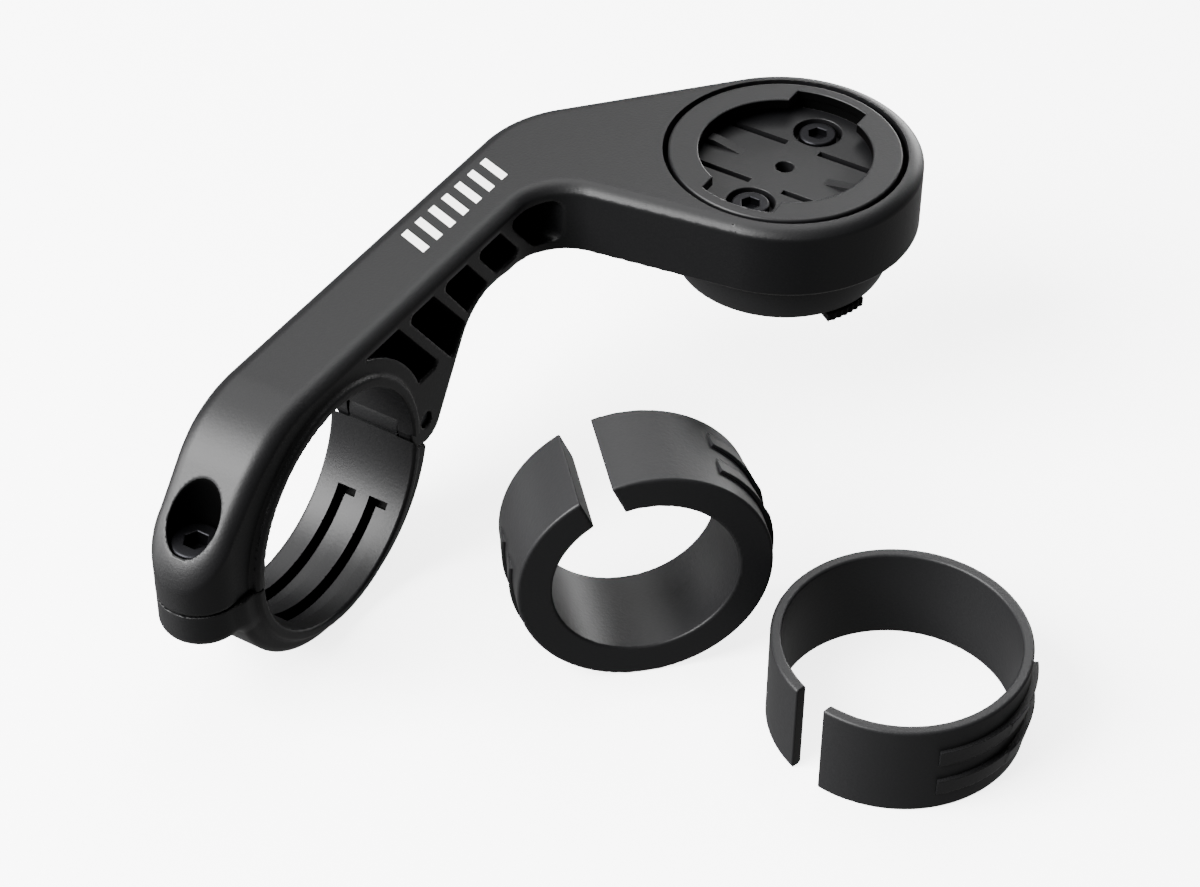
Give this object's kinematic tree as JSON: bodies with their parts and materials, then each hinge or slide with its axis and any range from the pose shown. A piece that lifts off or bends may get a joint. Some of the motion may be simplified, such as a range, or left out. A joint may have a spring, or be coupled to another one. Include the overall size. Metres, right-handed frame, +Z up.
{
  "type": "out-front handlebar mount",
  "caption": "Hinged handlebar clamp with a cored arm that bends sideways to a round quarter-turn socket, with two split bar reducers beside it.",
  "frame": {"origin": "centre of the clamp's bore, midway across the clamp", "axes": "+X forward along the arm, +Y along the handlebar away from the head, +Z up out of the computer socket"},
  "size_m": [0.1244, 0.1057, 0.0427],
  "materials": {
    "moulding": "black glass-filled nylon, fine spark-eroded texture",
    "socket_moulding": "black moulded acetal, smooth matt",
    "puck_moulding": "black moulded nylon, smooth matt",
    "flange_moulding": "black moulded nylon with fine ribs",
    "reducer_plastic": "black soft nylon with a satin moulded skin",
    "pin_steel": "ground steel",
    "washer_steel": "zinc plated steel",
    "black_screw": "black oxide steel",
    "socket_screws": "black oxide steel",
    "brass": "turned brass"
  },
  "bodies": {
    "mount": {"arm": "moulding", "hinge_pin": "pin_steel", "receptacle": "socket_moulding", "socket_screw_rear": "socket_screws", "socket_screw_front": "socket_screws", "stack_insert_rear": "brass", "stack_insert_front": "brass", "under_puck": "puck_moulding", "under_flange": "flange_moulding", "flange_screw_rear": "socket_screws", "flange_screw_front": "socket_screws"},
    "jaw": {"lower_jaw": "moulding", "clamp_insert": "brass"},
    "screw_carriage": {"clamp_washer": "washer_steel"},
    "clamp_bolt": {"clamp_screw": "black_screw"},
    "far_tongue": {"tongue_far": "socket_moulding"},
    "near_tongue": {"tongue_near": "socket_moulding"},
    "thin_ring": {"reducer_thin": "reducer_plastic"},
    "thick_ring": {"reducer_thick": "reducer_plastic"}
  },
  "joints": [
    {"name": "jaw_hinge", "type": "hinge", "parent": "mount", "child": "jaw", "pos_m": [0.0215, 0, 0], "axis": [0, -1, 0], "range_deg": [0, 85]},
    {"name": "clamp_screw_lift", "type": "slide", "parent": "mount", "child": "screw_carriage", "axis": [0, 0, 1], "range_m": [0, 0.0082]},
    {"name": "clamp_screw_turn", "type": "hinge", "parent": "screw_carriage", "child": "clamp_bolt", "pos_m": [-0.022, 0, 0.006], "axis": [0, 0, 1], "continuous": true},
    {"name": "tongue_far_flex", "type": "hinge", "parent": "mount", "child": "far_tongue", "pos_m": [0.0766, -0.0293, 0.01815], "axis": [-1, 0, 0], "range_deg": [0, 4], "stiffness_Nm_per_rad": 0.05},
    {"name": "tongue_near_flex", "type": "hinge", "parent": "mount", "child": "near_tongue", "pos_m": [0.0766, -0.0345, 0.01815], "axis": [1, 0, 0], "range_deg": [0, 4], "stiffness_Nm_per_rad": 0.05},
    {"name": "reducer_thin_lift", "type": "slide", "parent": "mount", "child": "thin_ring", "axis": [0, 0, 1], "range_m": [0, 0.03]},
    {"name": "reducer_thick_lift", "type": "slide", "parent": "mount", "child": "thick_ring", "axis": [0, 0, 1], "range_m": [0, 0.03]}
  ]
}
